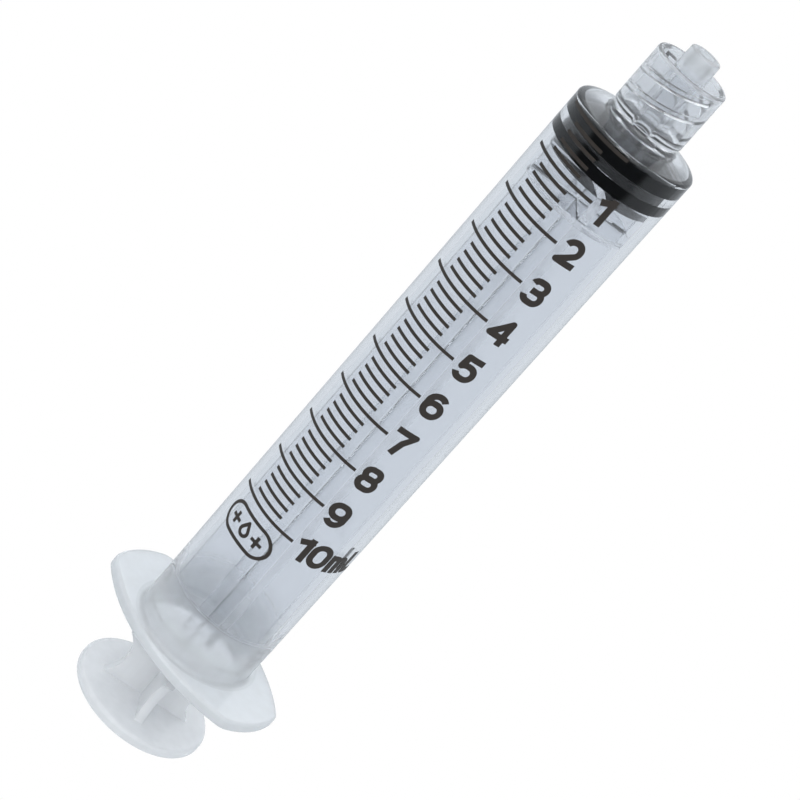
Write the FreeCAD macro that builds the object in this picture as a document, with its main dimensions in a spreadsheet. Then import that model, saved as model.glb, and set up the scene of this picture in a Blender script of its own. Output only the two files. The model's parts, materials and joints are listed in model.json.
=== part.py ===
"""A 10 mL three-piece syringe with a lock-type conical nozzle.

The axis is +Z. The origin is the middle of the thumb rest's rear face, so the syringe stands
on its thumb rest with the nozzle up, the plunger pushed fully home. The printed scale faces -Y,
and the finger flange's long axis lies along X. All sizes are in millimetres.

Three mouldings make the syringe: the barrel, the plunger rod and the rubber stopper. The print
on the barrel is a fourth material, kept as thin films on the barrel's outer surface.
"""

import FreeCAD
import Part

import math
import os

import Sketcher

Vector = FreeCAD.Vector
Rotation = FreeCAD.Rotation
Placement = FreeCAD.Placement

X_AXIS = Vector(1, 0, 0)
Z_AXIS = Vector(0, 0, 1)
Y_AXIS = Vector(0, 1, 0)

DIMENSIONS = {
    # Barrel tube. One millilitre is 6.1 mm of a 14.45 mm bore.
    "barrel_outer_r": 8.2,
    "bore_r": 7.225,
    "ml_pitch": 6.1,
    "zero_mark_z": 96.2,
    # Mouth of the bore, with the low bead that keeps the stopper from being pulled out.
    "mouth_r": 7.45,
    "mouth_end_z": 13.4,
    "bead_r": 7.08,
    "bead_low_z": 13.9,
    "bead_high_z": 14.3,
    "bead_end_z": 14.8,
    # Closed end: a shallow cone inside and out.
    "shoulder_z": 96.8,
    "inner_cone_low_z": 96.35,
    "inner_cone_high_z": 97.9,
    "neck_r": 4.45,
    "neck_low_z": 98.0,
    # Lock collar around the nozzle.
    "collar_outer_r": 4.73,
    "collar_low_z": 98.75,
    "collar_rim_z": 106.45,
    "collar_floor_z": 99.6,
    "collar_root_r": 4.0,
    "collar_mouth_r": 4.3,
    "collar_mouth_z": 106.1,
    # Collar thread: two starts, 5 mm lead.
    "thread_crest_r": 3.5,
    "thread_lead": 5.0,
    "thread_turns": 1.0,
    "thread_root_width": 1.0,
    "thread_crest_width": 0.4,
    "thread_start_z": 100.4,
    "thread_bite": 0.1,
    # Nozzle: 6 % taper on the diameter, 3.96 mm across at the tip.
    "nozzle_tip_r": 1.98,
    "nozzle_tip_z": 108.7,
    "nozzle_base_r": 2.253,
    "channel_r": 1.05,
    # Finger flange: two long shallow arcs and two rounded ends.
    "flange_rear_z": 11.0,
    "flange_thickness": 1.7,
    "flange_half_length": 14.3,
    "flange_half_width": 9.2,
    "flange_side_r": 22.5,
    "flange_end_r": 12.5,
    "flange_corner_r": 2.6,
    # Plunger rod.
    "thumb_r": 9.4,
    "thumb_thickness": 1.5,
    "rib_span": 13.2,
    "rib_thickness": 1.2,
    "rib_end_z": 91.2,
    "waist_ring_r": 9.6,
    "waist_ring_z": 4.7,
    "waist_cut_r": 4.6,
    "guide_r": 6.9,
    "guide_low_z": 86.4,
    "guide_high_z": 87.2,
    "pusher_low_z": 90.6,
    "pusher_high_z": 91.75,
    "stem_r": 2.05,
    "head_r": 2.95,
    "head_low_z": 93.1,
    "head_edge_z": 94.4,
    "head_high_z": 95.3,
    "head_nose_r": 1.9,
    # Fine ring groove in the thumb rest's rear face, round the foot of the ribs.
    "foot_ring_r": 3.95,
    "foot_ring_width": 0.35,
    "foot_ring_depth": 0.15,
    # Stopper.
    "seal_r": 7.2,
    "seal_groove_r": 6.6,
    "stopper_rear_z": 91.8,
    "rear_seal_high_z": 93.3,
    "groove_low_z": 93.6,
    "groove_high_z": 94.2,
    "front_seal_low_z": 94.5,
    "front_seal_high_z": 96.2,
    "stopper_nose_r": 1.2,
    "stopper_nose_z": 97.75,
    "socket_mouth_r": 2.1,
    "socket_r": 3.0,
    "socket_low_z": 93.0,
    "socket_edge_z": 94.45,
    "socket_high_z": 95.4,
    "socket_nose_r": 1.95,
    # Printed scale.
    "ink_thickness": 0.03,
    "mark_width": 0.42,
    "major_mark_angle": 74.0,
    "minor_mark_angle": 35.5,
    "numeral_height": 3.65,
    "numeral_stroke": 0.8,
}

RIB_ANGLE = 43.0            # the rod's ribs stand 43 degrees from the flange's long axis
NUMERAL_AZIMUTH = -40.0     # centre of the numerals, degrees about +Z from +X
UNIT_AZIMUTHS = (("0", -26.3), ("m", -5.4), ("L", 13.0))     # after the 1 of "10 mL"
SCALE_AZIMUTH = -91.0       # middle of the scale marks

doc = FreeCAD.newDocument("Syringe")


# ---------------------------------------------------------------- dimensions

def make_sheet():
    """Write every driving dimension to one spreadsheet, each under its own alias."""
    sheet = doc.addObject("Spreadsheet::Sheet", "Dimensions")
    for row, (alias, number) in enumerate(DIMENSIONS.items(), start=1):
        sheet.set("A%d" % row, alias)
        sheet.set("B%d" % row, str(number))
        sheet.setAlias("B%d" % row, alias)
    doc.recompute()
    return sheet


SHEET = make_sheet()


def size(alias):
    """The sheet's value of one dimension."""
    return float(SHEET.get(alias))


def bind(feature, prop, formula):
    """Drive a property from the sheet; the formula names the dimensions with a leading #."""
    feature.setExpression(prop, formula.replace("#", "Dimensions."))


# ---------------------------------------------------------------- sketch helpers

def origin_plane(body, role):
    """One of a body's own origin planes."""
    return next(item for item in body.Origin.OriginFeatures if item.Role == role)


def new_body(label):
    """An empty PartDesign body whose label is the node's name."""
    body = doc.addObject("PartDesign::Body", label)
    body.Label = label
    return body


def new_sketch(body, name, role):
    """A sketch on one of the body's origin planes."""
    sketch = body.newObject("Sketcher::SketchObject", name)
    sketch.AttachmentSupport = (origin_plane(body, role), [""])
    sketch.MapMode = "FlatFace"
    return sketch


def hold_point(sketch, edge, end, across, along):
    """Tie one end of an edge to two sheet dimensions; None holds it on the axis instead."""
    for kind, alias, axis in (("DistanceX", across, -2), ("DistanceY", along, -1)):
        if alias is None:
            sketch.addConstraint(Sketcher.Constraint("PointOnObject", edge, end, axis))
            continue
        constraint = Sketcher.Constraint(kind, -1, 1, edge, end, size(alias))
        index = sketch.addConstraint(constraint)
        bind(sketch, "Constraints[%d]" % index, "#" + alias)


def half_section(body, name, corners):
    """A closed outline in the XZ plane. Each corner is a pair of aliases: radius and height."""
    sketch = new_sketch(body, name, "XZ_Plane")
    places = [Vector(size(r) if r else 0, size(z) if z else 0, 0) for r, z in corners]
    count = len(corners)
    for k in range(count):
        sketch.addGeometry(Part.LineSegment(places[k], places[(k + 1) % count]))
    for k in range(count):
        sketch.addConstraint(Sketcher.Constraint("Coincident", k, 2, (k + 1) % count, 1))
    for k, (radius, height) in enumerate(corners):
        hold_point(sketch, k, 1, radius, height)
    return sketch


def turn(body, name, corners, kind="PartDesign::Revolution"):
    """Turn a half section about Z: a Revolution adds material, a Groove takes it away."""
    sketch = half_section(body, name + "_outline", corners)
    feature = body.newObject(kind, name)
    feature.Profile = sketch
    feature.ReferenceAxis = (sketch, ["V_Axis"])
    feature.Angle = 360
    doc.recompute()
    return feature


def turned_circle(body, name, ring_r, ring_z, tube_r):
    """A groove with a round section: a ring-shaped cut about Z."""
    sketch = new_sketch(body, name + "_outline", "XZ_Plane")
    centre = Vector(size(ring_r), size(ring_z), 0)
    sketch.addGeometry(Part.Circle(centre, Vector(0, 0, 1), size(tube_r)))
    hold_point(sketch, 0, 3, ring_r, ring_z)
    index = sketch.addConstraint(Sketcher.Constraint("Radius", 0, size(tube_r)))
    bind(sketch, "Constraints[%d]" % index, "#" + tube_r)
    feature = body.newObject("PartDesign::Groove", name)
    feature.Profile = sketch
    feature.ReferenceAxis = (sketch, ["V_Axis"])
    feature.Angle = 360
    doc.recompute()
    return feature


def centred_rectangle(sketch, across, along):
    """A rectangle centred on the sketch's origin, its sides held by two dimensions."""
    x, y = size(across) / 2, size(along) / 2
    corners = [Vector(-x, -y, 0), Vector(x, -y, 0), Vector(x, y, 0), Vector(-x, y, 0)]
    for k in range(4):
        sketch.addGeometry(Part.LineSegment(corners[k], corners[(k + 1) % 4]))
    for k in range(4):
        sketch.addConstraint(Sketcher.Constraint("Coincident", k, 2, (k + 1) % 4, 1))
        kind = "Horizontal" if k % 2 == 0 else "Vertical"
        sketch.addConstraint(Sketcher.Constraint(kind, k))
    sketch.addConstraint(Sketcher.Constraint("Symmetric", 0, 1, 2, 1, -1, 1))
    for kind, edge, alias in (("DistanceX", 0, across), ("DistanceY", 1, along)):
        index = sketch.addConstraint(Sketcher.Constraint(kind, edge, 1, edge, 2, size(alias)))
        bind(sketch, "Constraints[%d]" % index, "#" + alias)


def circle_edges(feature, wanted):
    """Names of the full or part circles about Z whose (radius, height) is in the wanted list."""
    names = []
    for k, edge in enumerate(feature.Shape.Edges, start=1):
        curve = edge.Curve
        if not isinstance(curve, Part.Circle) or abs(curve.Axis.z) < 0.999:
            continue
        if math.hypot(curve.Center.x, curve.Center.y) > 0.01:
            continue
        for radius, height in wanted:
            if abs(curve.Radius - radius) < 0.01 and abs(curve.Center.z - height) < 0.01:
                names.append("Edge%d" % k)
    return names


def round_edges(body, name, radius, edges):
    """Fillet the named edges of the body's last feature."""
    base = body.Tip
    feature = body.newObject("PartDesign::Fillet", name)
    feature.Base = (base, edges)
    feature.Radius = radius
    doc.recompute()
    return feature


# ---------------------------------------------------------------- barrel

def add_flange(body):
    """The finger flange: an oval plate of four arcs, made as one pad."""
    sketch = new_sketch(body, "flange_outline", "XY_Plane")
    bind(sketch, "AttachmentOffset.Base.z", "#flange_rear_z")
    side_r, end_r = size("flange_side_r"), size("flange_end_r")
    side_offset = side_r - size("flange_half_width")
    end_offset = size("flange_half_length") - end_r
    corner = flange_corner(side_r, side_offset, end_r, end_offset)
    side_turn = math.atan2(corner.y + side_offset, corner.x)
    end_turn = math.atan2(corner.y, corner.x - end_offset)
    up, out = Vector(0, 0, 1), math.pi
    sketch.addGeometry(Part.ArcOfCircle(
        Part.Circle(Vector(0, -side_offset, 0), up, side_r), side_turn, out - side_turn))
    sketch.addGeometry(Part.ArcOfCircle(
        Part.Circle(Vector(-end_offset, 0, 0), up, end_r), out - end_turn, out + end_turn))
    sketch.addGeometry(Part.ArcOfCircle(
        Part.Circle(Vector(0, side_offset, 0), up, side_r), out + side_turn, 2 * out - side_turn))
    sketch.addGeometry(Part.ArcOfCircle(
        Part.Circle(Vector(end_offset, 0, 0), up, end_r), 2 * out - end_turn, 2 * out + end_turn))
    for k in range(4):
        sketch.addConstraint(Sketcher.Constraint("Coincident", k, 2, (k + 1) % 4, 1))
    for arc in (0, 2):
        sketch.addConstraint(Sketcher.Constraint("PointOnObject", arc, 3, -2))
        index = sketch.addConstraint(Sketcher.Constraint("Radius", arc, side_r))
        bind(sketch, "Constraints[%d]" % index, "#flange_side_r")
    for arc in (1, 3):
        sketch.addConstraint(Sketcher.Constraint("PointOnObject", arc, 3, -1))
        index = sketch.addConstraint(Sketcher.Constraint("Radius", arc, end_r))
        bind(sketch, "Constraints[%d]" % index, "#flange_end_r")
    side_formula = "#flange_side_r - #flange_half_width"
    end_formula = "#flange_half_length - #flange_end_r"
    for kind, first, second, offset, formula in (
            ("DistanceY", (0, 3), (-1, 1), side_offset, side_formula),
            ("DistanceY", (-1, 1), (2, 3), side_offset, side_formula),
            ("DistanceX", (1, 3), (-1, 1), end_offset, end_formula),
            ("DistanceX", (-1, 1), (3, 3), end_offset, end_formula)):
        index = sketch.addConstraint(Sketcher.Constraint(kind, *first, *second, offset))
        bind(sketch, "Constraints[%d]" % index, formula)
    pad = body.newObject("PartDesign::Pad", "flange")
    pad.Profile = sketch
    bind(pad, "Length", "#flange_thickness")
    doc.recompute()
    return pad


def flange_corner(side_r, side_offset, end_r, end_offset):
    """Where a long side arc meets an end arc, in the first quadrant."""
    between = math.hypot(side_offset, end_offset)
    along = (side_r ** 2 - end_r ** 2 + between ** 2) / (2 * between)
    across = math.sqrt(side_r ** 2 - along ** 2)
    ux, uy = end_offset / between, side_offset / between
    return Vector(along * ux + across * uy, -side_offset + along * uy - across * ux, 0)


def flange_edges(feature, vertical):
    """The flange's four corner edges, or the rims of its two faces."""
    low = size("flange_rear_z")
    high = low + size("flange_thickness")
    names = []
    for k, edge in enumerate(feature.Shape.Edges, start=1):
        box = edge.BoundBox
        reach = max(abs(box.XMin), abs(box.XMax))
        upright = box.ZLength > 1.0 and reach > size("barrel_outer_r") + 2
        rim = box.ZLength < 0.001 and min(abs(box.ZMin - low), abs(box.ZMin - high)) < 0.001
        outside = math.hypot(edge.Vertexes[0].X, edge.Vertexes[0].Y) > size("barrel_outer_r") + 0.9
        if (upright if vertical else rim and outside):
            names.append("Edge%d" % k)
    return names


def add_thread(body, name, start_angle):
    """One start of the collar's internal thread: a trapezoid ridge swept along a helix."""
    root, crest = size("collar_root_r") + size("thread_bite"), size("thread_crest_r")
    half_root, half_crest = size("thread_root_width") / 2, size("thread_crest_width") / 2
    z = size("thread_start_z")
    corners = [Vector(root, z - half_root, 0), Vector(root, z + half_root, 0),
               Vector(crest, z + half_crest, 0), Vector(crest, z - half_crest, 0)]
    sketch = new_sketch(body, name + "_outline", "XZ_Plane")
    sketch.AttachmentOffset = Placement(Vector(), Rotation(Y_AXIS, start_angle))
    for k in range(4):
        sketch.addGeometry(Part.LineSegment(corners[k], corners[(k + 1) % 4]))
    for k in range(4):
        sketch.addConstraint(Sketcher.Constraint("Coincident", k, 2, (k + 1) % 4, 1))
    helix = body.newObject("PartDesign::AdditiveHelix", name)
    helix.Profile = sketch
    helix.ReferenceAxis = (sketch, ["V_Axis"])
    helix.Mode = "pitch-turns-angle"
    bind(helix, "Pitch", "#thread_lead")
    bind(helix, "Turns", "#thread_turns")
    helix.LeftHanded = False
    helix.Reversed = False
    doc.recompute()
    return helix


def make_barrel():
    """The barrel moulding: tube, finger flange, shoulder, lock collar and nozzle in one."""
    body = new_body("barrel")
    turn(body, "outside", [
        (None, "flange_rear_z"), ("barrel_outer_r", "flange_rear_z"),
        ("barrel_outer_r", "shoulder_z"), ("neck_r", "neck_low_z"),
        ("neck_r", "collar_low_z"), ("collar_outer_r", "collar_low_z"),
        ("collar_outer_r", "collar_rim_z"), ("collar_mouth_r", "collar_rim_z"),
        ("collar_root_r", "collar_mouth_z"), ("collar_root_r", "collar_floor_z"),
        ("nozzle_base_r", "collar_floor_z"), ("nozzle_tip_r", "nozzle_tip_z"),
        (None, "nozzle_tip_z")])
    add_flange(body)
    round_edges(body, "flange_corners", size("flange_corner_r"), flange_edges(body.Tip, True))
    round_edges(body, "flange_rims", 0.45, flange_edges(body.Tip, False))
    junction = [(size("barrel_outer_r"), size("flange_rear_z") + size("flange_thickness"))]
    round_edges(body, "flange_root", 0.6, circle_edges(body.Tip, junction))
    round_edges(body, "shoulder_edge", 0.4, circle_edges(
        body.Tip, [(size("barrel_outer_r"), size("shoulder_z"))]))
    round_edges(body, "neck_root", 0.7, circle_edges(
        body.Tip, [(size("neck_r"), size("neck_low_z"))]))
    round_edges(body, "collar_rim", 0.3, circle_edges(
        body.Tip, [(size("collar_outer_r"), size("collar_rim_z"))]))
    round_edges(body, "collar_foot", 0.2, circle_edges(
        body.Tip, [(size("collar_outer_r"), size("collar_low_z"))]))
    turn(body, "bore", [
        (None, "thumb_thickness"), ("mouth_r", "thumb_thickness"), ("mouth_r", "mouth_end_z"),
        ("bead_r", "bead_low_z"), ("bead_r", "bead_high_z"), ("bore_r", "bead_end_z"),
        ("bore_r", "inner_cone_low_z"), ("channel_r", "inner_cone_high_z"),
        ("channel_r", "nozzle_tip_z"), (None, "nozzle_tip_z")], "PartDesign::Groove")
    round_edges(body, "nozzle_edge", 0.25, circle_edges(
        body.Tip, [(size("nozzle_tip_r"), size("nozzle_tip_z"))]))
    add_thread(body, "thread_start_1", 0)
    add_thread(body, "thread_start_2", 180)
    return body


# ---------------------------------------------------------------- plunger rod

def make_plunger_rod():
    """The rod moulding: cross-shaped ribs between the thumb rest and the stopper's stem."""
    body = new_body("plunger_rod")
    sketch = new_sketch(body, "rib_section", "XY_Plane")
    centred_rectangle(sketch, "rib_span", "rib_thickness")
    bind(sketch, "AttachmentOffset.Base.z", "#thumb_thickness")
    rib = body.newObject("PartDesign::Pad", "rib")
    rib.Profile = sketch
    bind(rib, "Length", "#rib_end_z - #thumb_thickness")
    cross = body.newObject("PartDesign::PolarPattern", "cross_ribs")
    cross.Originals = [rib]
    cross.Axis = (sketch, ["N_Axis"])
    cross.Angle = 90
    cross.Occurrences = 2
    body.Tip = cross
    doc.recompute()
    turned_circle(body, "finger_waist", "waist_ring_r", "waist_ring_z", "waist_cut_r")
    turn(body, "thumb_rest", [
        (None, None), ("thumb_r", None), ("thumb_r", "thumb_thickness"),
        (None, "thumb_thickness")])
    turn(body, "guide_disc", [
        (None, "guide_low_z"), ("guide_r", "guide_low_z"), ("guide_r", "guide_high_z"),
        (None, "guide_high_z")])
    turn(body, "pusher_and_head", [
        (None, "pusher_low_z"), ("guide_r", "pusher_low_z"), ("guide_r", "pusher_high_z"),
        ("stem_r", "pusher_high_z"), ("stem_r", "head_low_z"), ("head_r", "head_low_z"),
        ("head_r", "head_edge_z"), ("head_nose_r", "head_high_z"), (None, "head_high_z")])
    round_edges(body, "thumb_rim", 0.5, circle_edges(
        body.Tip, [(size("thumb_r"), 0), (size("thumb_r"), size("thumb_thickness"))]))
    cut_foot_ring(body)
    body.Placement = Placement(Vector(), Rotation(Z_AXIS, RIB_ANGLE))
    return body


def cut_foot_ring(body):
    """A fine ring groove in the thumb rest's rear face."""
    sketch = new_sketch(body, "foot_ring_outline", "XY_Plane")
    for k, side in enumerate((-0.5, 0.5)):
        radius = size("foot_ring_r") + side * size("foot_ring_width")
        sketch.addGeometry(Part.Circle(Vector(), Z_AXIS, radius))
        sketch.addConstraint(Sketcher.Constraint("Coincident", k, 3, -1, 1))
        index = sketch.addConstraint(Sketcher.Constraint("Radius", k, radius))
        formula = "#foot_ring_r + %g * #foot_ring_width" % side
        bind(sketch, "Constraints[%d]" % index, formula)
    pocket = body.newObject("PartDesign::Pocket", "foot_ring")
    pocket.Profile = sketch
    pocket.Reversed = True
    bind(pocket, "Length", "#foot_ring_depth")
    doc.recompute()
    return pocket


# ---------------------------------------------------------------- stopper

def make_stopper():
    """The rubber stopper: two sealing rings, a low cone in front, a socket for the rod's head."""
    body = new_body("stopper")
    turn(body, "rubber", [
        ("socket_mouth_r", "stopper_rear_z"), ("seal_r", "stopper_rear_z"),
        ("seal_r", "rear_seal_high_z"), ("seal_groove_r", "groove_low_z"),
        ("seal_groove_r", "groove_high_z"), ("seal_r", "front_seal_low_z"),
        ("seal_r", "front_seal_high_z"), ("stopper_nose_r", "stopper_nose_z"),
        (None, "stopper_nose_z"), (None, "socket_high_z"), ("socket_nose_r", "socket_high_z"),
        ("socket_r", "socket_edge_z"), ("socket_r", "socket_low_z"),
        ("socket_mouth_r", "socket_low_z")])
    round_edges(body, "seal_edges", 0.25, circle_edges(
        body.Tip, [(size("seal_r"), size("stopper_rear_z")),
                   (size("seal_r"), size("front_seal_high_z"))]))
    return body


# ---------------------------------------------------------------- printed scale

def make_marks():
    """The scale marks: thin arcs of ink every 0.2 mL, longer ones at each whole millilitre."""
    body = new_body("ink_marks")
    body.AllowCompound = True
    for name, angle_alias, count, step in (("major", "major_mark_angle", 11, 1.0),
                                           ("minor", "minor_mark_angle", 51, 0.2)):
        sketch = new_sketch(body, name + "_section", "XZ_Plane")
        inner = size("barrel_outer_r")
        outer = inner + size("ink_thickness")
        low = size("zero_mark_z") - size("mark_width") / 2
        high = low + size("mark_width")
        corners = [Vector(inner, low, 0), Vector(outer, low, 0),
                   Vector(outer, high, 0), Vector(inner, high, 0)]
        for k in range(4):
            sketch.addGeometry(Part.LineSegment(corners[k], corners[(k + 1) % 4]))
        for k in range(4):
            sketch.addConstraint(Sketcher.Constraint("Coincident", k, 2, (k + 1) % 4, 1))
        arc = body.newObject("PartDesign::Revolution", name + "_mark")
        arc.Profile = sketch
        arc.ReferenceAxis = (sketch, ["V_Axis"])
        arc.Midplane = True
        bind(arc, "Angle", "#" + angle_alias)
        row = body.newObject("PartDesign::LinearPattern", name + "_marks")
        row.Originals = [arc]
        row.Direction = (sketch, ["V_Axis"])
        row.Reversed = True
        bind(row, "Length", "%g * #ml_pitch" % (step * (count - 1)))
        row.Occurrences = count
        body.Tip = row
        doc.recompute()
    body.Placement = Placement(Vector(), Rotation(Z_AXIS, SCALE_AZIMUTH))
    return body


# Each character is a set of pen strokes on a field one unit high: straight lines between two
# points, and arcs given by centre, radius, start and end angle. Widths are per character.
GLYPHS = {
    "0": (0.72, [("line", 0, 0.36, 0, 0.64), ("line", 0.72, 0.36, 0.72, 0.64),
                 ("arc", 0.36, 0.64, 0.36, 0, 180), ("arc", 0.36, 0.36, 0.36, 180, 360)]),
    "1": (0.72, [("line", 0.02, 0.80, 0.37, 0.96), ("line", 0.37, 1, 0.37, 0)]),
    "2": (0.72, [("arc", 0.35, 0.67, 0.33, -38, 165), ("line", 0.61, 0.467, 0.02, 0),
                 ("line", 0.02, 0, 0.72, 0)]),
    "3": (0.72, [("arc", 0.28, 0.755, 0.245, 90, 165), ("line", 0.28, 1, 0.44, 1),
                 ("arc", 0.44, 0.755, 0.245, -90, 90), ("line", 0.28, 0.51, 0.44, 0.51),
                 ("arc", 0.455, 0.265, 0.265, -90, 90), ("line", 0.265, 0, 0.455, 0),
                 ("arc", 0.265, 0.265, 0.265, 190, 270)]),
    "4": (0.74, [("line", 0.60, 0, 0.60, 1), ("line", 0.60, 1, 0, 0.24),
                 ("line", 0, 0.24, 0.74, 0.24)]),
    "5": (0.72, [("line", 0.66, 1, 0.12, 1), ("line", 0.12, 1, 0.0625, 0.509),
                 ("arc", 0.30, 0.31, 0.31, 90, 140), ("line", 0.30, 0.62, 0.41, 0.62),
                 ("arc", 0.41, 0.31, 0.31, -90, 90), ("line", 0.29, 0, 0.41, 0),
                 ("arc", 0.29, 0.31, 0.31, 200, 270)]),
    "6": (0.72, [("arc", 0.31, 0.31, 0.31, 90, 270), ("arc", 0.41, 0.31, 0.31, -90, 90),
                 ("line", 0.31, 0, 0.41, 0), ("line", 0.31, 0.62, 0.41, 0.62),
                 ("stem", 0, 0.31, 0, 0.64), ("arc", 0.36, 0.64, 0.36, 35, 180)]),
    "7": (0.74, [("line", 0, 1, 0.74, 1), ("line", 0.74, 1, 0.40, 0.50),
                 ("line", 0.40, 0.50, 0.27, 0)]),
    "8": (0.72, [("arc", 0.28, 0.755, 0.245, 90, 270), ("arc", 0.44, 0.755, 0.245, -90, 90),
                 ("line", 0.28, 1, 0.44, 1), ("line", 0.28, 0.51, 0.44, 0.51),
                 ("arc", 0.265, 0.265, 0.265, 90, 270), ("arc", 0.455, 0.265, 0.265, -90, 90),
                 ("line", 0.265, 0, 0.455, 0), ("line", 0.265, 0.53, 0.455, 0.53)]),
    "9": (0.72, [("arc", 0.31, 0.69, 0.31, 90, 270), ("arc", 0.41, 0.69, 0.31, -90, 90),
                 ("line", 0.31, 1, 0.41, 1), ("line", 0.31, 0.38, 0.41, 0.38),
                 ("stem", 0.72, 0.69, 0.72, 0.36), ("arc", 0.36, 0.36, 0.36, 215, 360)]),
    "m": (0.72, [("line", 0, 0, 0, 0.69), ("arc", 0.18, 0.51, 0.18, 0, 180),
                 ("line", 0.36, 0.51, 0.36, 0), ("arc", 0.54, 0.51, 0.18, 0, 180),
                 ("line", 0.72, 0.51, 0.72, 0)]),
    "L": (0.45, [("line", 0, 1, 0, 0), ("line", 0, 0, 0.45, 0)]),
}
JOIN = 0.02                 # stroke ends this close together are one corner


def stroke_ends(kind, numbers):
    """The two ends of a stroke's centre line."""
    if kind != "arc":
        return [Vector(numbers[0], numbers[1], 0), Vector(numbers[2], numbers[3], 0)]
    x, y, radius, start, end = numbers
    return [Vector(x + radius * math.cos(math.radians(angle)),
                   y + radius * math.sin(math.radians(angle)), 0) for angle in (start, end)]


def pen_line(start, end, caps, pen, depth):
    """A straight stroke in the XY plane, run on past each end by that end's cap."""
    along = end - start
    bar = Part.makeBox(along.Length + sum(caps), pen, depth, Vector(-caps[0], -pen / 2, 0))
    bar.rotate(Vector(), Z_AXIS, math.degrees(math.atan2(along.y, along.x)))
    bar.translate(start)
    return bar


def pen_arc(x, y, radius, start, end, pen, depth):
    """A curved stroke; angles are in degrees, anticlockwise."""
    centre = Vector(x, y, 0)
    ring = Part.makeCylinder(radius + pen / 2, depth, centre, Z_AXIS, end - start)
    ring = ring.cut(Part.makeCylinder(radius - pen / 2, depth, centre))
    ring.rotate(centre, Z_AXIS, start)
    return ring


def stroke_solid(strokes, scale, pen, depth):
    """All strokes of one drawing as one flat solid: round corners, square free ends."""
    every_end = [end for kind, *numbers in strokes for end in stroke_ends(kind, numbers)]
    pieces = []
    for kind, *numbers in strokes:
        ends = stroke_ends(kind, numbers)
        shared = [sum(end.distanceToPoint(other) < JOIN for other in every_end) > 1
                  for end in ends]
        for end, is_shared in zip(ends, shared):
            if is_shared:
                pieces.append(Part.makeCylinder(pen / 2, depth, end * scale))
        if kind == "arc":
            x, y, radius = [n * scale for n in numbers[:3]]
            pieces.append(pen_arc(x, y, radius, numbers[3], numbers[4], pen, depth))
        else:
            caps = [0 if is_shared or kind == "stem" else pen / 2 for is_shared in shared]
            pieces.append(pen_line(ends[0] * scale, ends[1] * scale, caps, pen, depth))
    return pieces[0].fuse(pieces[1:]).removeSplitter()


def ink_shell(low_z, high_z):
    """The thin ring of space on the barrel's surface that ink can fill."""
    inner = size("barrel_outer_r")
    outer = inner + size("ink_thickness")
    base = Vector(0, 0, low_z)
    ring = Part.makeCylinder(outer, high_z - low_z, base)
    return ring.cut(Part.makeCylinder(inner, high_z - low_z, base))


def print_drawing(strokes, width, height, scale, pen, azimuth, middle_z):
    """Wrap one drawing onto the barrel, centred at an azimuth and a height."""
    flat = stroke_solid(strokes, scale, pen, size("barrel_outer_r") + 1)
    flat.translate(Vector(-width / 2, -height / 2, 0))
    flat.rotate(Vector(), X_AXIS, 90)
    flat.translate(Vector(0, 0, middle_z))
    reach = size("numeral_height")
    ink = flat.common(ink_shell(middle_z - reach, middle_z + reach))
    ink.rotate(Vector(), Z_AXIS, azimuth + 90)
    return ink


def make_numerals():
    """The numbers 1 to 10 beside the whole-millilitre marks, and the unit after the last."""
    pen = size("numeral_stroke")
    scale = size("numeral_height") - pen
    places = [(str(number), NUMERAL_AZIMUTH, number) for number in range(1, 10)]
    places.append(("1", NUMERAL_AZIMUTH, 10))
    places += [(character, azimuth, 10) for character, azimuth in UNIT_AZIMUTHS]
    films = []
    for character, azimuth, millilitres in places:
        width, strokes = GLYPHS[character]
        middle_z = size("zero_mark_z") - millilitres * size("ml_pitch")
        films.append(print_drawing(strokes, width * scale, scale, scale, pen,
                                   azimuth, middle_z))
    feature = doc.addObject("Part::Feature", "ink_numerals")
    feature.Label = "ink_numerals"
    feature.Shape = Part.makeCompound([solid for film in films for solid in film.Solids])
    return feature


def make_emblem():
    """A plain pictogram below the scale: a drop between two plus signs in a round-ended frame."""
    half_length, half_height = 2.1, 1.85
    strokes = [
        ("line", -half_length, half_height, half_length, half_height),
        ("line", -half_length, -half_height, half_length, -half_height),
        ("arc", half_length, 0, half_height, -90, 90),
        ("arc", -half_length, 0, half_height, 90, 270),
        ("arc", 0, -0.25, 0.62, -215, 35),
        ("line", -0.508, 0.106, 0, 1.0),
        ("line", 0.508, 0.106, 0, 1.0)]
    for x in (-2.1, 2.1):
        strokes.append(("line", x - 0.6, 0, x + 0.6, 0))
        strokes.append(("line", x, -0.6, x, 0.6))
    middle_z = size("zero_mark_z") - 10 * size("ml_pitch") - 3.45
    film = print_drawing(strokes, 0, 0, 1.0, 0.45, SCALE_AZIMUTH, middle_z)
    feature = doc.addObject("Part::Feature", "ink_emblem")
    feature.Label = "ink_emblem"
    feature.Shape = Part.makeCompound(film.Solids)
    return feature


# ---------------------------------------------------------------- build and export

nodes = [make_barrel(), make_plunger_rod(), make_stopper(), make_marks(), make_numerals(),
         make_emblem()]
doc.recompute()

for item in doc.Objects:
    if "Invalid" in item.State or "Error" in item.State:
        raise RuntimeError("%s did not build: %s" % (item.Label, item.State))

os.makedirs("parts", exist_ok=True)
for node in nodes:
    shape = node.Shape
    if shape.isNull() or not shape.isValid():
        raise RuntimeError("%s has no valid shape" % node.Label)
    shape.exportStep("parts/%s.step" % node.Label)
    print("%-14s %3d solids  %9.3f mm3  %s" % (
        node.Label, len(shape.Solids), shape.Volume, shape.BoundBox))
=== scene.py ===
# %% [markdown]
# # A clear syringe in a bright studio
#
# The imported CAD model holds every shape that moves, fits or is gripped: the barrel, the plunger
# rod, the stopper and the print. This notebook gives each of them its surface and sets up a pale
# studio around them. Clear plastic is a lesson in restraint: most of what the eye sees in it is
# the room behind it, bent at the edges and greyed a little, so the room is built with as much
# care as the surfaces.

import json
import math

import bmesh
import bpy
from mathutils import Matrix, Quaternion, Vector


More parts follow.
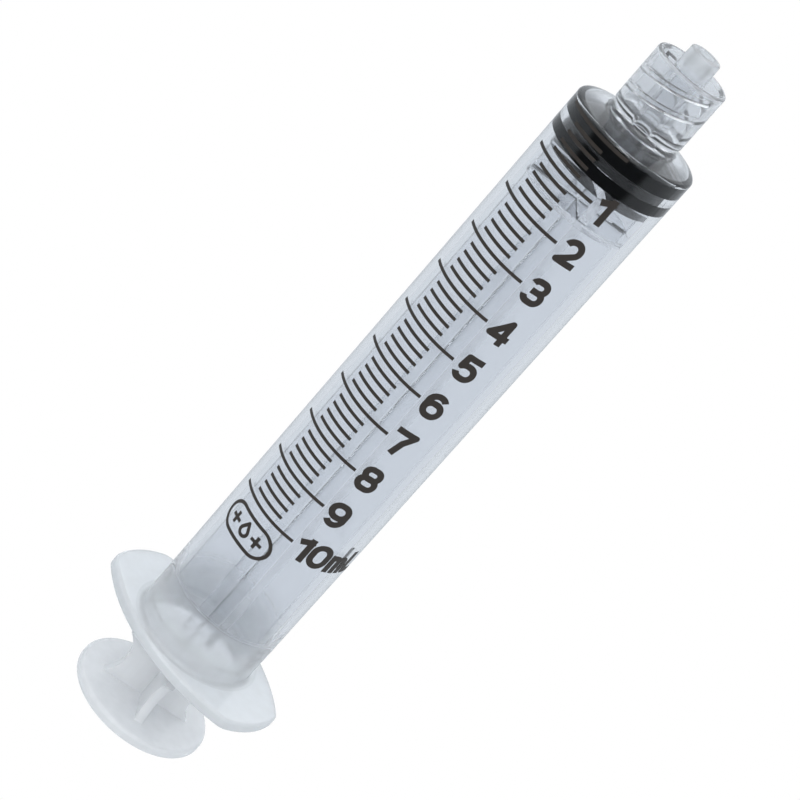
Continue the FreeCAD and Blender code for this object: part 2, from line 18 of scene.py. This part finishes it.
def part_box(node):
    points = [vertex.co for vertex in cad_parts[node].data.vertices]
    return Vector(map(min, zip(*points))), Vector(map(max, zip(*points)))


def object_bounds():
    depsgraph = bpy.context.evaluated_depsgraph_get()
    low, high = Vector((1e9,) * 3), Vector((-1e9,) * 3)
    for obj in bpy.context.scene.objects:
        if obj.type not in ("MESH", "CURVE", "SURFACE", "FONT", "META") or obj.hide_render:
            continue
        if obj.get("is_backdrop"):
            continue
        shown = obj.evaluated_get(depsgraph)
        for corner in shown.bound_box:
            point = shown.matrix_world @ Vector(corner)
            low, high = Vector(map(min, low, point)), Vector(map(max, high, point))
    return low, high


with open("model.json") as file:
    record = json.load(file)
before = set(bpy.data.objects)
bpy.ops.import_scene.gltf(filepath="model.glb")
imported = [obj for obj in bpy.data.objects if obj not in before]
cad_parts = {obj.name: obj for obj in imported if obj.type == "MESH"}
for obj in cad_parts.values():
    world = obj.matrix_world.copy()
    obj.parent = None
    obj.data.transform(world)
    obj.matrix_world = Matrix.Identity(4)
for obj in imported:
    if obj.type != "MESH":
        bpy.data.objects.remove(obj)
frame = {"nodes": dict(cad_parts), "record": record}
start_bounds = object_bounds()
MM = 0.001

scene = bpy.context.scene
nodes = frame["nodes"]
low, high = start_bounds
middle = (low + high) / 2
print("object", [round(side / MM, 1) for side in high - low], "mm")
print("nodes", sorted(nodes))

# %% [markdown]
# ## Landmarks along the axis
#
# A moulding doesn't look the same all along: where the wall is thick it is milkier, where it is
# thin it is clearer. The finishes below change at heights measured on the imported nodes, so they
# follow the object if its sizes change.

# %% Heights that the finishes change at
FLANGE_THICKNESS = 1.7 * MM
CONE_HEIGHT = 0.9 * MM          # the stopper's low cone pokes this far past the tube's end
SHOULDER_WALL = 1.2 * MM

FLANGE_REAR, NOZZLE_TIP = [corner[2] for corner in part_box("barrel")]
THUMB_REAR, ROD_END = [corner[2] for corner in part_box("plunger_rod")]
FLANGE_FRONT = FLANGE_REAR + FLANGE_THICKNESS
TUBE_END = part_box("stopper")[1][2] - CONE_HEIGHT
NECK = TUBE_END + SHOULDER_WALL

for name, place in (("thumb rest rear", THUMB_REAR), ("flange rear", FLANGE_REAR),
                    ("flange front", FLANGE_FRONT), ("rod end", ROD_END),
                    ("tube end", TUBE_END), ("neck", NECK), ("nozzle tip", NOZZLE_TIP)):
    print("%-16s %6.2f mm" % (name, place / MM))

# %% [markdown]
# ## Small helpers
#
# Colours are written the way a paint chip is, as sRGB hex, and turned into the linear values
# that shaders need.

# %% Helper for colours
def colour(text):
    """An sRGB hex colour as the linear RGBA that a shader takes."""
    channels = [int(text[k:k + 2], 16) / 255 for k in (1, 3, 5)]
    linear = [c / 12.92 if c <= 0.04045 else ((c + 0.055) / 1.055) ** 2.4 for c in channels]
    return (*linear, 1.0)


print("mid grey #808080 is", [round(c, 3) for c in colour("#808080")[:3]], "in linear light")

# %% [markdown]
# A material is a tree of nodes. It could be wired by hand in the Shader editor; in a script, one
# helper that adds a node, sets its options, fills its sockets and returns it lets a material
# read as a list of ingredients.

# %% Helpers for nodes
def add(tree, kind, options=None, **sockets):
    """Adds a node. Options are its properties; sockets are its inputs: values or outputs.

    A socket is named with underscores for spaces, or by its number after one underscore.
    """
    made = tree.nodes.new(kind)
    for name, value in (options or {}).items():
        setattr(made, name, value)
    for name, value in sockets.items():
        key = int(name[1:]) if name[0] == "_" else name.replace("_", " ")
        if isinstance(value, bpy.types.NodeSocket):
            tree.links.new(value, made.inputs[key])
        else:
            made.inputs[key].default_value = value
    return made


def new_material(name):
    """An empty material; returns it with its tree."""
    material = bpy.data.materials.new(name)
    material.use_nodes = True
    material.node_tree.nodes.clear()
    return material, material.node_tree


def show(tree, shader):
    """Makes a shader node the surface of its material."""
    add(tree, "ShaderNodeOutputMaterial", Surface=shader.outputs[0])


def dress(piece, material):
    """Gives a piece one material."""
    piece.data.materials.clear()
    piece.data.materials.append(material)
    print("%-14s wears %s" % (piece.name, material.name))


# %% [markdown]
# ## Pattern helpers
#
# Each pattern is drawn in the object's own coordinates, in metres, so a grain of 0.3 mm is
# 0.3 mm on the real thing. `clouds` is a soft noise with a grain size for each direction, and
# can be turned about the axis; `remap` turns one range into another; `spread` does so for a
# cloud, whose values mostly lie between 0.3 and 0.7; `relief` turns a pattern into a bump of
# known depth.

# %% Helpers for patterns
def object_place(tree):
    """The point being shaded, in the object's own coordinates."""
    return add(tree, "ShaderNodeTexCoord").outputs["Object"]


def clouds(tree, place, grain, detail=2.0, turn=0.0):
    """Soft noise from 0 to 1. Grain is the cloud size along x, y and z, in millimetres."""
    turned = add(tree, "ShaderNodeMapping", Vector=place, Rotation=(0.0, 0.0, -turn))
    fitted = add(tree, "ShaderNodeMapping", Vector=turned.outputs[0],
                 Scale=[1 / (size * MM) for size in grain])
    return add(tree, "ShaderNodeTexNoise", Vector=fitted.outputs[0], Scale=1.0,
               Detail=detail).outputs["Fac"]


def remap(tree, value, low, high, to_low, to_high, smooth=False):
    """Value from one range as a value in another, held at both ends."""
    kind = "SMOOTHSTEP" if smooth else "LINEAR"
    return add(tree, "ShaderNodeMapRange", {"interpolation_type": kind}, Value=value,
               From_Min=low, From_Max=high, To_Min=to_low, To_Max=to_high).outputs["Result"]


def spread(tree, cloud, to_low, to_high, low=0.3):
    """A cloud's usual values spread over another range; a higher low leaves more of it plain."""
    return remap(tree, cloud, low, 0.7, to_low, to_high)


def maths(tree, operation, first, second):
    """One arithmetic step."""
    return add(tree, "ShaderNodeMath", {"operation": operation}, _0=first, _1=second).outputs[0]


def relief(tree, height, depth):
    """A normal bent by a height pattern; depth is in millimetres."""
    return add(tree, "ShaderNodeBump", Strength=1.0, Distance=depth * MM,
               Height=height).outputs["Normal"]


def blend(tree, share, first, second):
    """Two hex colours mixed by a share from 0 to 1."""
    return add(tree, "ShaderNodeMix", {"data_type": "RGBA"}, _0=share, _6=colour(first),
               _7=colour(second)).outputs[2]


print("a grain of 0.12 mm, a speck of dried ink, makes", round(1 / (0.12 * MM)), "in a metre")

# %% [markdown]
# ## Polypropylene
#
# Medical polypropylene is clear where it is thin and milky where it is thick, because tiny
# crystals in it scatter light. Two things stand for that here: the share of light that goes
# straight through (transmission), and the rest, which wanders inside the plastic and comes out
# softly somewhere near (subsurface). Milkiness is that second share. Geometry could carry none
# of this, since the walls are smooth; it has to be in the shader.
#
# Where the plastic is milky its tint is also greyed a little, so the colour runs from a clear one
# to a greyer one: this greying is painted shade, which dims the milky parts, the flange most. A
# slow, lengthwise unevenness, left by the melt as it ran along the mould, keeps the tint, the
# gloss and the milkiness from being even. A shallow orange peel, the mark of a mould polished by
# hand, bends the reflections a little. Each is small: more would read as frosted plastic.

# %% Polypropylene
MELT_GRAIN = (1.6, 1.6, 14.0)   # the melt runs lengthwise, so its clouds are long
SKIN_GRAIN = (1.5, 1.5, 2.5)    # the polished mould's faint orange peel
REFRACTION = 1.49
WANDER = 2.5 * MM               # how far light wanders before it comes out again


def polypropylene(name, clear_and_shade_tints, milkiness, roughness, peel, strokes=None):
    """Glossy, faintly blue-white plastic; milkiness and strokes are functions of the place."""
    material, tree = new_material(name)
    place = object_place(tree)
    height = add(tree, "ShaderNodeSeparateXYZ", Vector=place).outputs["Z"]
    flow = clouds(tree, place, MELT_GRAIN)
    uneven = spread(tree, flow, 0.97, 1.03)
    milk = maths(tree, "MULTIPLY", milkiness(tree, place, height), uneven)
    clear = maths(tree, "SUBTRACT", 1.0, milk)
    # the tint's mix: painted shade that grows with the milk, plus the melt's random tone
    shade_and_melt_mix = maths(tree, "ADD", milk, spread(tree, flow, -0.1, 0.1))
    skin = clouds(tree, place, SKIN_GRAIN)
    if strokes:
        skin = maths(tree, "ADD", skin, strokes(tree, place, height))
    shader = add(tree, "ShaderNodeBsdfPrincipled",
                 Base_Color=blend(tree, shade_and_melt_mix, *clear_and_shade_tints),
                 Roughness=spread(tree, flow, *roughness), IOR=REFRACTION,
                 Transmission_Weight=clear, Subsurface_Weight=1.0,
                 Subsurface_Radius=(1.0, 1.0, 1.0), Subsurface_Scale=WANDER,
                 Normal=relief(tree, skin, peel))
    show(tree, shader)
    return material


print("light wanders about %.1f mm in the milky share" % (WANDER / MM))

# %% [markdown]
# ### The barrel
#
# The tube's wall is 1 mm and clear, so that the dose can be read through it. The finger flange
# is nearly twice as thick and sets more slowly, so it is plainly milky, and its milk runs a
# little way into the root of the tube. The shoulder, the collar and the nozzle lie between: a
# lot of plastic seen at once, but each wall thin. The barrel is one moulding, so it gets one
# material: radius tells the flange's plate from the tube, and height tells the rest.

# %% The barrel's polypropylene
TUBE_RADIUS = 8.1 * MM          # just inside the tube's outside
PLATE_RADIUS = 9.2 * MM         # from here out, the flange is all plate
FLANGE_MILK = 0.62
ROOT_LENGTH = 10 * MM
ROOT_MILK = 0.55
HEAD_MILK = 0.08                # shoulder, collar and nozzle
TIP_MILK = 0.25
BARREL_GLOSS = (0.04, 0.08)     # roughness at its least and most
BARREL_PEEL = 0.0006            # depth in millimetres


def axis_distance(tree, place):
    """How far a point is from the syringe's axis."""
    flat = add(tree, "ShaderNodeVectorMath", {"operation": "MULTIPLY"}, _0=place, _1=(1, 1, 0))
    return add(tree, "ShaderNodeVectorMath", {"operation": "LENGTH"},
               _0=flat.outputs[0]).outputs["Value"]


def barrel_milkiness(tree, place, height):
    """Clear tube, milky flange and root, a touch of milk in the shoulder, collar and nozzle."""
    plate = remap(tree, axis_distance(tree, place), TUBE_RADIUS, PLATE_RADIUS, 0.0, FLANGE_MILK,
                  smooth=True)
    behind = remap(tree, height, FLANGE_FRONT + 0.1 * MM, FLANGE_FRONT + 1.0 * MM, 1.0, 0.0,
                   smooth=True)
    root = remap(tree, height, FLANGE_FRONT, FLANGE_FRONT + ROOT_LENGTH, ROOT_MILK, 0.0,
                 smooth=True)
    flange = maths(tree, "MAXIMUM", maths(tree, "MULTIPLY", plate, behind), root)
    head = remap(tree, height, TUBE_END, NECK + 1.5 * MM, 0.0, HEAD_MILK, smooth=True)
    tip = remap(tree, height, NOZZLE_TIP - 3 * MM, NOZZLE_TIP - 1.5 * MM, 0.0, TIP_MILK,
                smooth=True)
    return maths(tree, "ADD", maths(tree, "ADD", flange, head), tip)


# the second tint, the greyer one, is painted shade on the milky flange, root and head
dress(nodes["barrel"], polypropylene("barrel_clear_polypropylene", ("#f7f8fa", "#eff2f5"),
                                     barrel_milkiness, BARREL_GLOSS, BARREL_PEEL))

# %% [markdown]
# ### The plunger rod
#
# The rod is the same plastic. Its thumb rest is a solid disc and the first of its ribs stand in
# open air, so both look milky white; inside the barrel the ribs are thin blades and go nearly
# clear, with only their edges drawn. The pusher behind the stopper is a little milkier again.
# The thumb rest's mould was finished with a file, which left fine straight lines, all one way,
# on both of its faces. They are far too shallow to model, so they are strokes in the bump: a
# noise stretched one way and squeezed the other.

# %% The plunger rod's polypropylene
FOOT_MILK = 0.75                # thumb rest and the ribs outside the barrel
BLADE_MILK = 0.02
PUSHER_MILK = 0.05
ROD_GLOSS = (0.03, 0.06)
ROD_PEEL = 0.001
STROKES_END = THUMB_REAR + 1.7 * MM    # just past the thumb rest's front face
STROKE_GRAIN = (5.0, 0.22, 5.0)        # long, narrow strokes
STROKE_TURN = math.radians(45)
STROKE_DEPTH = 4.0                     # in orange peels


def rod_milkiness(tree, place, height):
    """Milky outside the barrel, nearly clear blades inside, a little milk at the pusher."""
    foot = remap(tree, height, FLANGE_REAR - 5 * MM, FLANGE_REAR + 1 * MM, FOOT_MILK, BLADE_MILK,
                 smooth=True)
    pusher = remap(tree, height, ROD_END - 9.5 * MM, ROD_END - 8.5 * MM, 0.0, PUSHER_MILK,
                   smooth=True)
    return maths(tree, "ADD", foot, pusher)


def thumb_strokes(tree, place, height):
    """File strokes on the thumb rest, several times deeper than the orange peel."""
    strokes = clouds(tree, place, STROKE_GRAIN, turn=STROKE_TURN)
    here = remap(tree, height, STROKES_END, STROKES_END + 0.1 * MM, STROKE_DEPTH, 0.0)
    return maths(tree, "MULTIPLY", strokes, here)


# the second tint, a touch greyer, is painted shade on the milky thumb rest and outer ribs
dress(nodes["plunger_rod"], polypropylene("rod_milky_polypropylene", ("#f9fafc", "#f7f8fa"),
                                          rod_milkiness, ROD_GLOSS, ROD_PEEL,
                                          strokes=thumb_strokes))

# %% [markdown]
# ## Rubber
#
# The stopper is black butyl rubber, wiped with a film of silicone oil. Its skin is matt, with a
# grain of about half a millimetre where the oil lies thicker or thinner, which moves both the
# black and the gloss a little. Seen through plastic that it touches, it mirrors almost nothing,
# so its specular level is low.

# %% The stopper's rubber
OIL_GRAIN = (0.5, 0.5, 0.5)


def black_rubber():
    """Near-black with soft, uneven highlights."""
    material, tree = new_material("stopper_black_rubber")
    oil = clouds(tree, object_place(tree), OIL_GRAIN, detail=3.0)
    shader = add(tree, "ShaderNodeBsdfPrincipled",
                 Base_Color=blend(tree, spread(tree, oil, 0.0, 1.0, low=0.35),
                                  "#040506", "#0a0c10"),
                 Roughness=spread(tree, oil, 0.45, 0.6),
                 Specular_IOR_Level=0.05)
    show(tree, shader)
    return material


dress(nodes["stopper"], black_rubber())

# %% [markdown]
# ### Rubber pressed against the wall
#
# The seal is wider than the bore until it is pushed in, so it lies against the wall with no air
# between them. That contact shows: where rubber wets the plastic, the wall can't mirror the room
# by total reflection, and the black band fills the barrel to its very outline. The rigid model
# leaves a hair's gap, so a Displace modifier swells the rubber's skin just past it. The mesh
# itself, and the size of the object, stay as they were.

# %% Swell the rubber into the bore
SWELL = 0.06 * MM

press = nodes["stopper"].modifiers.new("pressed_into_bore", "DISPLACE")
press.strength = SWELL
press.mid_level = 0.0
press.direction = "NORMAL"
print("the rubber's skin swells by %.2f mm" % (SWELL / MM))

# %% [markdown]
# ## Ink
#
# The scale is pad-printed in a warm brown-black. The film is thin, so its cover is a little
# uneven at a tenth of a millimetre, and browner where it is thinner. It is matt next to the
# glossy plastic.

# %% The print's ink
INK_GRAIN = (0.12, 0.12, 0.12)


def printing_ink():
    """Warm brown-black, matt, with a fine uneven cover."""
    material, tree = new_material("brown_black_ink")
    cover = clouds(tree, object_place(tree), INK_GRAIN, detail=3.0)
    shader = add(tree, "ShaderNodeBsdfPrincipled",
                 Base_Color=blend(tree, spread(tree, cover, 0.0, 1.0, low=0.35),
                                  "#1c1510", "#33291f"),
                 Roughness=spread(tree, cover, 0.50, 0.60))
    show(tree, shader)
    return material


ink = printing_ink()
for name in ("ink_marks", "ink_numerals", "ink_emblem"):
    dress(nodes[name], ink)

# %% [markdown]
# ## The floor
#
# A product picture of a clear thing needs a white ground that doesn't fill the plastic with
# white, or the plastic is lost in it. A studio does this with a light table, white to the lens,
# and a polarising filter, which takes the mirrored light off the tube's near side and leaves the
# light that comes through it. The floor here is a glowing sheet. The camera sees it as white;
# light bent by the plastic finds a cool grey; and light mirrored by it finds that grey fading to
# near black on the camera's side.
#
# The plunger rod comes out downwards, so the sheet lies below the whole of its travel and the
# syringe is held above it, as on a clamp stand. The fade starts where a tube's middle mirrors
# the sheet and is complete where the stopper does: the rubber stays black, the tube bright.

# %% A glowing floor
STUDIO_GREY = "#dce2e8"
FLOOR_SIZE = 6.0
FLOOR_GAP = 3 * MM              # between the drawn-out thumb rest and the floor
FADE_START = 285 * MM           # the mirrored floor starts to fade this far ahead
FADE_FULL = 415 * MM
FADE_SHARE = 0.90               # how much of the mirrored light is taken off there
CAMERA_AZIMUTH = math.radians(-62.34)

toward_camera = Vector((math.cos(CAMERA_AZIMUTH), math.sin(CAMERA_AZIMUTH), 0))
travel = {joint["name"]: joint.get("range_m") for joint in frame["record"]["behaviour"]["joints"]}
drawn_out = travel["plunger_slide"][1]
floor_height = THUMB_REAR - drawn_out - FLOOR_GAP


def glowing_sheet():
    """White to the camera, cool grey through the plastic, darker in its reflections."""
    material, tree = new_material("light_table_acrylic")
    ahead = add(tree, "ShaderNodeVectorMath", {"operation": "DOT_PRODUCT"},
                _0=object_place(tree), _1=toward_camera).outputs["Value"]
    path = add(tree, "ShaderNodeLightPath").outputs
    fade = remap(tree, ahead, FADE_START, FADE_FULL, 0.0, FADE_SHARE, smooth=True)
    fade = maths(tree, "MULTIPLY", fade, path["Is Reflection Ray"])
    glow = maths(tree, "SUBTRACT", 1.0, fade)
    lit = add(tree, "ShaderNodeEmission", Color=colour(STUDIO_GREY), Strength=glow)
    seen = add(tree, "ShaderNodeEmission", Color=colour("#ffffff"), Strength=1.0)
    show(tree, add(tree, "ShaderNodeMixShader", _0=path["Is Camera Ray"], _1=lit.outputs[0],
                   _2=seen.outputs[0]))
    return material


form = bmesh.new()
bmesh.ops.create_grid(form, x_segments=1, y_segments=1, size=FLOOR_SIZE / 2)
sheet = bpy.data.meshes.new("floor")
form.to_mesh(sheet)
form.free()
floor = bpy.data.objects.new("floor", sheet)
floor.location = (0, 0, floor_height)
scene.collection.objects.link(floor)
dress(floor, glowing_sheet())
floor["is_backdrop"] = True
print("floor at %.1f mm, below a travel of %.1f mm" % (floor_height / MM, drawn_out / MM))

# %% [markdown]
# ## The light
#
# Soft light from all round comes from the world, in the same cool white as the floor. It is what
# the milky parts send back, so its strength sets how bright the flange and the thumb rest are.
# A large softbox overhead adds the long, faint highlights along the tube. Another stands a
# little above the camera and lifts the upright milky walls, which see less of the room than the
# level ones do. Rays through the plastic don't see it, or it would shine as a white square
# through the tube when the syringe is seen from behind.

# %% World and softboxes
ROOM_STRENGTH = 1.15

world = bpy.data.worlds.new("studio")
scene.world = world
world.use_nodes = True
background = world.node_tree.nodes["Background"]
background.inputs["Color"].default_value = colour(STUDIO_GREY)
background.inputs["Strength"].default_value = ROOM_STRENGTH


def softbox(name, place, size, power):
    """A square of soft light, sized in metres and watts, turned towards the object's middle."""
    light = bpy.data.lights.new(name, "AREA")
    light.shape = "SQUARE"
    light.size = size
    light.energy = power
    made = bpy.data.objects.new(name, light)
    made.location = place
    made.rotation_euler = (middle - place).to_track_quat("-Z", "Y").to_euler()
    scene.collection.objects.link(made)
    print("softbox %-9s %.1f m wide, %.2f m away" % (name, size, (middle - place).length))
    return made


softbox("overhead", Vector((-0.2, 0.2, 0.9)), size=1.6, power=3.0)
front = softbox("front", toward_camera * 0.75 + Vector((0, 0, 0.35)), size=1.0, power=2.2)
front.visible_transmission = False

# %% [markdown]
# ## The camera
#
# The syringe is upright, and the camera looks down on it from 23 degrees, close up, rolled so
# that the barrel runs from corner to corner of a square picture. Light has many walls to cross,
# so the path limit is raised: with the usual limit, the ribs deep in the barrel would go dark.

# %% Camera
CAMERA_ELEVATION = math.radians(23.12)
CAMERA_ROLL = math.radians(41.34)
CAMERA_DISTANCE = 304 * MM
CAMERA_AIM = Vector((-0.28, -0.15, 54.21)) * MM
FOCAL_LENGTH = 117.14           # millimetres, on a sensor 36 mm wide
LIGHT_BOUNCES = 32

lens = bpy.data.cameras.new("camera")
lens.lens = FOCAL_LENGTH
lens.sensor_width = 36
camera = bpy.data.objects.new("camera", lens)
back = (toward_camera * math.cos(CAMERA_ELEVATION)
        + Vector((0, 0, math.sin(CAMERA_ELEVATION))))
camera.location = CAMERA_AIM + back * CAMERA_DISTANCE
upright = (-back).to_track_quat("-Z", "Y")
camera.rotation_euler = (upright @ Quaternion((0, 0, 1), CAMERA_ROLL)).to_euler()
scene.collection.objects.link(camera)
bpy.context.scene.camera = camera

scene.view_settings.view_transform = "Standard"
scene.cycles.max_bounces = LIGHT_BOUNCES
scene.cycles.transmission_bounces = LIGHT_BOUNCES
print("camera at", [round(c / MM) for c in camera.location], "mm")

# %% [markdown]
# ## Sizes, and done
#
# The finishes above mustn't change the size of the object. Both boxes are held side by side, the
# one read at the start and the one measured now, and compared: the largest change of a side is
# printed.

# %% Compare the sizes and finish
sizes = {"frame": [list(corner) for corner in start_bounds],
         "visual": [list(corner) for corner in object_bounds()]}
growth = max(abs(a - b) for before, after in zip(sizes["frame"], sizes["visual"])
             for a, b in zip(before, after))
print("largest change of a side %.4f mm" % (growth / MM))
